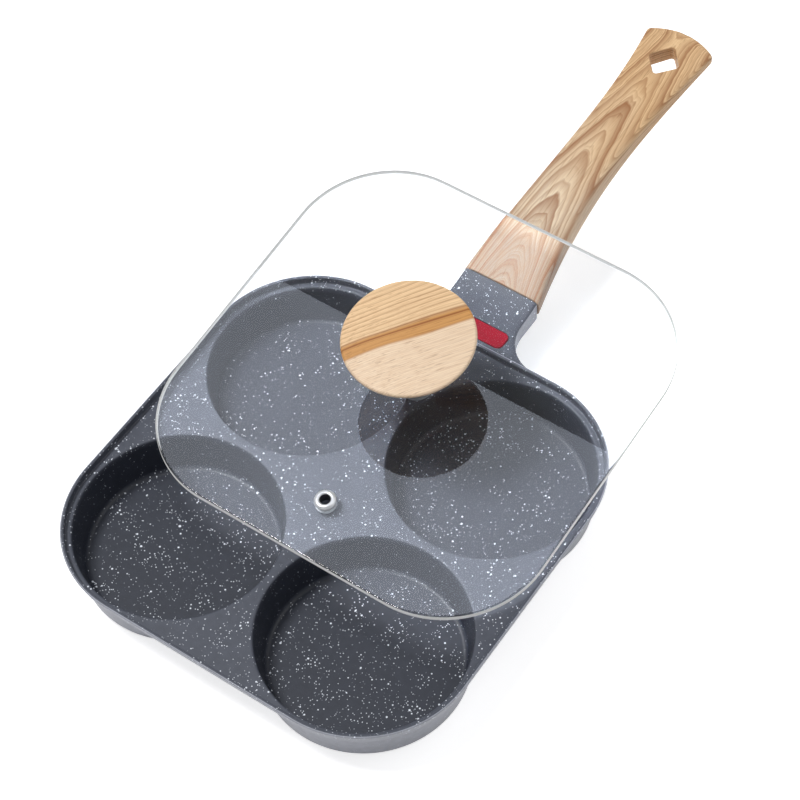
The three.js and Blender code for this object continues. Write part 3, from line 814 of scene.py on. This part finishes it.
# Single dark lines of the knob: distance in metres to the left of its middle, and strength
KNOB_LINES = ((0.0056, 0.75), (0.0036, 0.95), (-0.0014, 0.4))
KNOB_LINE_HALF_WIDTH = 0.0008
KNOB_GRAIN_TURN = math.radians(36)


def ring_lines(f, rings, strength, sharpness):
    """Growth rings: each darkens slowly, ends at once and differs from the next."""
    phase = f.math("FRACT", rings)
    order = f.math("FLOOR", rings)
    chance = f.add("ShaderNodeTexWhiteNoise", {"W": order}, noise_dimensions="1D").outputs["Value"]
    rise = f.math("POWER", phase, sharpness)
    line = f.math("MULTIPLY", rise, f.spread(phase, 0.9, 1.0, 1.0, 0.0))
    return f.math("MULTIPLY", line, f.spread(chance, 0.0, 1.0, 0.5 * strength, strength))


def oak(f, grain, late, pale):
    """Colours of the oak print from its pale ground and late wood, with fibres and pores along Y."""
    fine = f.scaled(grain, FIBRE_STRETCH)
    fibre = f.spread(f.noise(0.0005, fine, 3.0, 0.65), 0.35, 0.7)
    pores = f.spread(f.noise(0.0006, fine, 2.0, 0.7), 0.57, 0.7)
    ringed = f.mix(late, pale, LATE_WOOD)
    grained = f.mix(f.math("MULTIPLY", fibre, 0.25), ringed, FIBRE_TONE)
    f.set(
        Base_Color=f.mix(f.math("MULTIPLY", pores, 0.4), grained, PORE_TONE),
        Roughness=f.spread(fibre, 0.0, 1.0, 0.45, 0.58),
        Specular_IOR_Level=0.35,
    )
    f.bump(fibre, 0.00005, 0.3)


def wander(f, grain, size, amount):
    """Slow drift that keeps grain lines from running true."""
    drift = f.noise(size, f.scaled(grain, DRIFT_STRETCH), 2.0)
    return f.math("MULTIPLY", f.math("SUBTRACT", drift, 0.5), amount)


def handle_oak(name):
    """Arched growth rings cut at a growing slant along the handle, in the handle's own bent frame."""
    f = Finish(name)
    grain = f.add("ShaderNodeAttribute", attribute_name="grain").outputs["Vector"]
    parts = f.add("ShaderNodeSeparateXYZ", {"Vector": grain}).outputs
    drift = f.math("ADD", wander(f, grain, 0.03, 0.002), wander(f, grain, 0.005, 0.0006))
    slant = f.math("ADD", f.math("MULTIPLY", parts["Y"], RING_SLANT_GROWTH), RING_SLANT)
    cut = f.math("ADD", f.math("MULTIPLY", parts["Y"], slant), PITH_DEPTH)
    depth = f.math("ADD", cut, f.math("ADD", parts["Z"], drift))
    squares = f.math("ADD", f.math("POWER", parts["X"], 2.0), f.math("POWER", depth, 2.0))
    radius = f.math("SQRT", squares)
    late = None
    for width, strength, sharpness in HANDLE_RINGS:
        lines = ring_lines(f, f.math("DIVIDE", radius, width), strength, sharpness)
        late = lines if late is None else f.math("MAXIMUM", late, lines)
    cloud = f.spread(f.noise(0.03, f.scaled(grain, DRIFT_STRETCH)), 0.35, 0.65, -0.3, 0.3)
    browner = f.math("ADD", f.spread(parts["Y"], 0.04, 0.12), cloud)
    # Painted shade: the root under the lid's glass is painted greyer and darker than the pale ground
    # further out.
    pale = f.mix(f.spread(parts["Y"], 0.018, 0.034), colour(174, 165, 149), colour(250, 232, 203))
    oak(f, grain, late, f.mix(browner, pale, colour(248, 212, 164)))
    return f.material


def knob_oak(name, centre):
    """Nearly straight grain across the knob with one broad dark band."""
    f = Finish(name)
    local = f.add("ShaderNodeVectorMath", {0: f.place, 1: centre}, operation="SUBTRACT").outputs[0]
    turn = {"Vector": local, "Angle": KNOB_GRAIN_TURN}
    grain = f.add("ShaderNodeVectorRotate", turn, rotation_type="Z_AXIS").outputs["Vector"]
    parts = f.add("ShaderNodeSeparateXYZ", {"Vector": grain}).outputs
    across = f.math("ADD", parts["X"], wander(f, grain, 0.025, 0.007))
    lower = f.spread(across, -0.002, 0.002)
    late = ring_lines(f, f.math("DIVIDE", across, 0.0023), 0.8, 2.5)
    late = f.math("MULTIPLY", late, f.spread(lower, 0.0, 1.0, 1.0, 0.35))
    band_start = f.spread(across, -0.0062, -0.0045)
    band_end = f.spread(across, 0.001, 0.0022, 1.0, 0.0)
    band = f.math("MULTIPLY", band_start, band_end)
    fine = ring_lines(f, f.math("DIVIDE", across, 0.0008), 0.32, 1.5)
    late = f.math("MAXIMUM", late, fine)
    for place, strength in KNOB_LINES:
        gap = f.math("ABSOLUTE", f.math("ADD", across, place))
        late = f.math("MAXIMUM", late, f.spread(gap, 0.0, KNOB_LINE_HALF_WIDTH, strength, 0.0))
    pale = f.mix(lower, colour(252, 218, 172), colour(252, 228, 198))
    oak(f, grain, late, f.mix(band, pale, colour(216, 160, 94)))
    return f.material


def plain(name, first, second, size, roughness, metallic=0.0, transmission=0.0, sheen=0.5):
    """Two close tones mixed by noise."""
    f = Finish(name)
    tone = f.cloud(size, detail=3.0)
    f.set(
        Base_Color=f.mix(tone, first, second),
        Roughness=f.spread(tone, 0.0, 1.0, roughness, roughness + 0.08),
        Metallic=metallic,
        Transmission_Weight=transmission,
        Specular_IOR_Level=sheen,
    )
    return f.material


def clear_glass(name):
    """Clear plate with a slight bloom that catches the light."""
    f = Finish(name)
    tone = f.cloud(0.05)
    f.set(
        Base_Color=f.mix(tone, (0.88, 0.9, 0.92, 1), (0.91, 0.93, 0.95, 1)),
        Roughness=0.0,
        IOR=1.45,
        Transmission_Weight=0.995,
    )
    return f.material


def ground_edge(name):
    """Frosted edge of the plate, with a painted glow from its emission that stands in for light running
    inside the glass.
    """
    f = Finish(name)
    tone = f.cloud(0.004)
    f.set(
        Base_Color=f.mix(tone, (0.22, 0.23, 0.23, 1), (0.26, 0.27, 0.27, 1)),
        Roughness=0.45,
        # Painted glow: the edge gives out light though it is no lamp.
        Emission_Color=(1, 1, 1, 1),
        Emission_Strength=0.36,
    )
    return f.material


# Lid pieces lean with the glass as far as it leans in the frame
glass_low, glass_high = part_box("lid_glass")
glass_rise = (glass_high[2] - glass_low[2]) / MM - LID_THICKNESS
lean = math.asin(glass_rise / (2 * (LID_HALF - LID_EDGE)))
lid_front = moved(0, LID_OPENING - PAN_HALF, DECK_Z + SEAT_GAP)
lid_place = pan_place @ lid_front @ Matrix.Rotation(lean, 4, "X") @ moved(0, LID_HALF, 0)
vent_place = lid_place @ moved(0, VENT_Y, 0)
knob_middle = lid_place @ Vector((0, 0, KNOB_TOP * MM))

# Floor, wall and deck tones of the inside; the darker floors and walls are painted shade.
cup_tones_with_painted_shade = (colour(46, 50, 61), colour(42, 46, 57), colour(75, 79, 90))
outside_tone = colour(160, 163, 174)
inside_coating = speckled("stone_coating", *cup_tones_with_painted_shade)
outside_coating = speckled("stone_coating_outside", outside_tone, outside_tone, outside_tone)
handle_wood = handle_oak("oak_print_handle")
knob_wood = knob_oak("oak_print_knob", knob_middle)
red_tones = (colour(144, 0, 33), colour(136, 0, 29))
red_rubber = plain("red_rubber", *red_tones, size=0.002, roughness=0.5, sheen=0.1)
steel_tones = (colour(218, 221, 225), colour(232, 234, 237))
bright_steel = plain("bright_steel", *steel_tones, size=0.003, roughness=0.28, metallic=0.6)
# Painted shade: dark tones for the inside of the vent's bore, where the deep hole is in shade.
bore_shade_tones = (colour(66, 68, 74), colour(80, 82, 88))
painted_shade_bore = plain("painted_shade_bore", *bore_shade_tones, size=0.002, roughness=0.5)
brass_tones = (colour(190, 152, 82), colour(204, 168, 98))
warm_brass = plain("warm_brass", *brass_tones, size=0.003, roughness=0.3, metallic=1.0)
silicone_tones = (colour(196, 198, 196), colour(206, 208, 206))
soft_silicone = plain("soft_silicone", *silicone_tones, size=0.002, roughness=0.5, transmission=0.6)
lid_clear = clear_glass("lid_glass_clear")
lid_edge = ground_edge("lid_glass_edge")

# Pan pieces
pan_casting = as_object("pan_casting", casting(), pan_place)
tongue = tang(0, HANDLE_START - TANG_THICKNESS, HANDLE_START + TANG_LENGTH)
combine(
    pan_casting,
    "UNION",
    as_object("neck", neck(), pan_place),
    as_object("tongue", tongue, pan_place),
)
rim_back = (PAN_HALF - RIM_WIDTH / 2 - 2 * THIN_GAP + PAN_SHIFT_Y) * MM
neck_root = (PAN_HALF - NECK_ROOT - THIN_GAP + PAN_SHIFT_Y) * MM
for face in pan_casting.data.polygons:
    beside = face.center.y > rim_back and face.normal.z < NECK_SIDE_TILT
    below = face.center.y > neck_root and face.center.z < SKIRT_Z * MM
    if beside or below:
        face.material_index = OUTSIDE
inlay_place = pan_place @ moved(0, INLAY_Y, 0)
inlay_bottom = NECK_TOP_Z - INLAY_DEPTH
inlay_top = NECK_TOP_Z + INLAY_RISE
pocket = inlay_bar([(SEAT_GAP, inlay_bottom - SEAT_GAP), (SEAT_GAP, RIM_Z + INLAY_RISE)])
combine(pan_casting, "DIFFERENCE", as_object("pocket", pocket, inlay_place))
finish_piece(pan_casting, [inside_coating, outside_coating], "pan", "pan_body")

inlay_profile = [(0, inlay_bottom)]
inlay_profile += arc(-INLAY_ROUND, inlay_top - INLAY_ROUND, INLAY_ROUND, 0, 90)
red_inlay = as_object("red_inlay", inlay_bar(inlay_profile), inlay_place)
finish_piece(red_inlay, [red_rubber], "pan", "neck_inlay")

screw_slant = Matrix.Rotation(math.atan(handle_slope(SCREW_Y)), 4, "X")
screw_place = pan_place @ moved(0, SCREW_Y, handle_middle(SCREW_Y)) @ screw_slant
screw_seat = -(TANG_THICKNESS / 2 + TANG_PLAY + SCREW_WALL)
washer_top = screw_seat - THIN_GAP
washer_bottom = washer_top - WASHER_THICKNESS
head_top = washer_bottom - THIN_GAP
head_bottom = head_top - SCREW_HEAD_HEIGHT
screw_tip = SCREW_DEPTH - TANG_THICKNESS / 2
washer_bore = SCREW_RADIUS + SEAT_GAP

wood_handle = as_object("wood_handle", handle_grip(), pan_place)
socket = tang(TANG_PLAY, HANDLE_START - TANG_PLAY, HANDLE_START + TANG_LENGTH + TANG_PLAY)
counterbore = cylinder(WASHER_RADIUS + SEAT_GAP, -HANDLE_BELLY_THICKNESS, screw_seat)
screw_hole = cylinder(washer_bore, screw_seat - SCREW_WALL, 0)
combine(
    wood_handle,
    "DIFFERENCE",
    as_object("hole", hang_hole(), pan_place),
    as_object("socket", socket, pan_place),
    as_object("counterbore", counterbore, screw_place),
    as_object("screw_hole", screw_hole, screw_place),
)
grain = wood_handle.data.attributes.new("grain", "FLOAT_VECTOR", "POINT")
for vertex, place in zip(wood_handle.data.vertices, grain.data):
    y = vertex.co.y / MM - PAN_SHIFT_Y
    place.vector = (vertex.co.x, (y - HANDLE_START) * MM, vertex.co.z - handle_middle(y) * MM)
finish_piece(wood_handle, [handle_wood], "pan", "handle_grip")

fixing_screw = screw("fixing_screw", screw_place, SCREW_HEAD_RADIUS, head_bottom, head_top, screw_tip)
finish_piece(fixing_screw, [bright_steel], "pan", "handle_screw")
washer = rounded_ring(washer_bore, WASHER_RADIUS, washer_bottom, washer_top)
fixing_washer = as_object("fixing_washer", washer, screw_place)
finish_piece(fixing_washer, [bright_steel], "pan", "handle_washer")

# Lid pieces
glass_lid = as_object("glass_lid", glass_plate(), lid_place)
finish_piece(glass_lid, [lid_clear, lid_edge], "lid", "lid_glass")
glass_lid.visible_shadow = False

round_knob = as_object("round_knob", knob(), lid_place)
finish_piece(round_knob, [knob_wood], "lid", "lid_knob")

insert = rounded_ring(washer_bore, INSERT_RADIUS, INSERT_BOTTOM, INSERT_TOP)
brass_insert = as_object("brass_insert", insert, lid_place)
finish_piece(brass_insert, [warm_brass], "lid", "knob_insert")

upper_bottom = LID_THICKNESS + THIN_GAP
upper = rounded_ring(GLASS_SCREW_HOLE, KNOB_STEM, upper_bottom, upper_bottom + GASKET_THICKNESS)
upper_gasket = as_object("upper_gasket", upper, lid_place)
finish_piece(upper_gasket, [soft_silicone], "lid", "knob_gasket_upper")

lower = rounded_ring(GLASS_SCREW_HOLE, KNOB_STEM, -THIN_GAP - GASKET_THICKNESS, -THIN_GAP)
lower_gasket = as_object("lower_gasket", lower, lid_place)
finish_piece(lower_gasket, [soft_silicone], "lid", "knob_gasket_lower")

clamp = rounded_ring(washer_bore, KNOB_WASHER_RADIUS, KNOB_WASHER_BOTTOM, KNOB_WASHER_TOP)
clamp_washer = as_object("clamp_washer", clamp, lid_place)
finish_piece(clamp_washer, [bright_steel], "lid", "knob_washer")

clamp_tip = INSERT_TOP - SEAT_GAP
clamp_screw = screw(
    "clamp_screw", lid_place, KNOB_SCREW_HEAD_RADIUS, KNOB_HEAD_BOTTOM, KNOB_HEAD_TOP, clamp_tip
)
finish_piece(clamp_screw, [bright_steel], "lid", "knob_screw")

steam_eyelet = as_object("steam_eyelet", vent_eyelet(), vent_place)
finish_piece(steam_eyelet, [bright_steel, painted_shade_bore], "lid", "vent_eyelet")
seat = rounded_ring(VENT_BARREL_RADIUS + THIN_GAP, VENT_WASHER_RADIUS, VENT_WASHER_BOTTOM, -THIN_GAP)
steam_washer = as_object("steam_washer", seat, vent_place)
finish_piece(steam_washer, [bright_steel], "lid", "vent_washer")

# Studio: a wide bowl that shows white to the camera and still takes the pan's shadow
FLOOR_RADIUS = 3000
BACKDROP_RISE = 2000
FLOOR_GLOW = 0.7
WORLD_GLOW = 0.25
bowl = bmesh.new()
bowl_profile = arc(FLOOR_RADIUS, BACKDROP_RISE, BACKDROP_RISE, -90, 0, 2 * ARC_STEPS)
bowl_rings = [add_ring(bowl, circle(radius, z)) for radius, z in bowl_profile]
bridge(bowl, bowl_rings)
cap(bowl, bowl_rings[0])
floor = as_object("floor", bowl, Matrix())
floor.data.shade_smooth()
floor_paint = Finish("white_floor")
rays = floor_paint.add("ShaderNodeLightPath").outputs
seen = floor_paint.math("MAXIMUM", rays["Is Camera Ray"], rays["Is Glossy Ray"])
seen = floor_paint.math("MAXIMUM", seen, rays["Is Transmission Ray"])
floor_paint.set(
    Base_Color=(0.8, 0.8, 0.81, 1),
    Roughness=0.9,
    Specular_IOR_Level=0.0,
    Emission_Color=(1, 1, 1, 1),
    Emission_Strength=floor_paint.math("MULTIPLY", seen, FLOOR_GLOW),
)
floor.data.materials.append(floor_paint.material)

world = bpy.context.scene.world or bpy.data.worlds.new("studio")
bpy.context.scene.world = world
world.use_nodes = True
backdrop = world.node_tree.nodes["Background"]
backdrop.inputs["Color"].default_value = (1, 1, 1, 1)
backdrop.inputs["Strength"].default_value = WORLD_GLOW


def soft_lamp(name, toward, distance, width, power):
    """A square lamp that shines on the pan from a direction."""
    data = bpy.data.lights.new(name, "AREA")
    data.shape = "SQUARE"
    data.size = width
    data.energy = power
    lamp = bpy.data.objects.new(name, data)
    direction = Vector(toward).normalized()
    lamp.location = direction * distance
    lamp.rotation_euler = direction.to_track_quat("Z", "Y").to_euler()
    lamp.visible_transmission = False
    bpy.context.scene.collection.objects.link(lamp)


soft_lamp("key", toward=(-0.36, -0.2, 0.91), distance=1.8, width=0.4, power=19)
soft_lamp("overhead", toward=(0.5, 0.35, 1.0), distance=1.6, width=1.0, power=5)

# Camera fitted to the photo
CAMERA_SENSOR = 36
CAMERA_LENS = 105.516
CAMERA_AIM = Vector((-0.0036, -0.04048, 0.026))
CAMERA_DISTANCE = 0.9916
CAMERA_AZIMUTH = math.radians(37.988)
CAMERA_ELEVATION = math.radians(54.736)
CAMERA_ROLL = math.radians(-4.365)
camera_data = bpy.data.cameras.new("photo_camera")
camera_data.sensor_fit = "HORIZONTAL"
camera_data.sensor_width = CAMERA_SENSOR
camera_data.lens = CAMERA_LENS
camera = bpy.data.objects.new("photo_camera", camera_data)
level_reach = math.cos(CAMERA_ELEVATION)
outward = Vector((math.sin(CAMERA_AZIMUTH) * level_reach, -math.cos(CAMERA_AZIMUTH) * level_reach, 0))
outward.z = math.sin(CAMERA_ELEVATION)
upright = outward.to_track_quat("Z", "Y").to_matrix().to_4x4()
rolled = upright @ Matrix.Rotation(CAMERA_ROLL, 4, "Z")
camera.matrix_world = Matrix.Translation(CAMERA_AIM + outward * CAMERA_DISTANCE) @ rolled
bpy.context.scene.collection.objects.link(camera)
bpy.context.scene.camera = camera
bpy.context.scene.view_settings.view_transform = "Standard"

# Card mirrored by the leaning glass from its front edge to a little past its middle
CARD_HEIGHT = 1.0
CARD_GLOW = 3.3
CARD_COLOUR = (0.8, 0.87, 1.0)
CARD_PAST_MIDDLE = 12
glass_normal = (lid_place.to_3x3() @ Vector((0, 0, 1))).normalized()
card_middle = lid_place @ (Vector((0, (CARD_PAST_MIDDLE - LID_HALF) / 2, LID_THICKNESS)) * MM)
above_glass = (camera.location - card_middle).dot(glass_normal)
mirrored_eye = camera.location - 2 * above_glass * glass_normal
card_scale = (above_glass + CARD_HEIGHT) / above_glass
card_data = bpy.data.lights.new("card", "AREA")
card_data.shape = "RECTANGLE"
card_data.color = CARD_COLOUR
card_data.size = 2 * LID_HALF * MM * card_scale
card_data.size_y = (LID_HALF + CARD_PAST_MIDDLE) * MM * card_scale
card_data.energy = math.pi * card_data.size * card_data.size_y * CARD_GLOW
card = bpy.data.objects.new("card", card_data)
card.location = mirrored_eye + (card_middle - mirrored_eye) * card_scale
card.rotation_euler = lid_place.to_euler()
card.visible_diffuse = False
card.visible_transmission = False
bpy.context.scene.collection.objects.link(card)
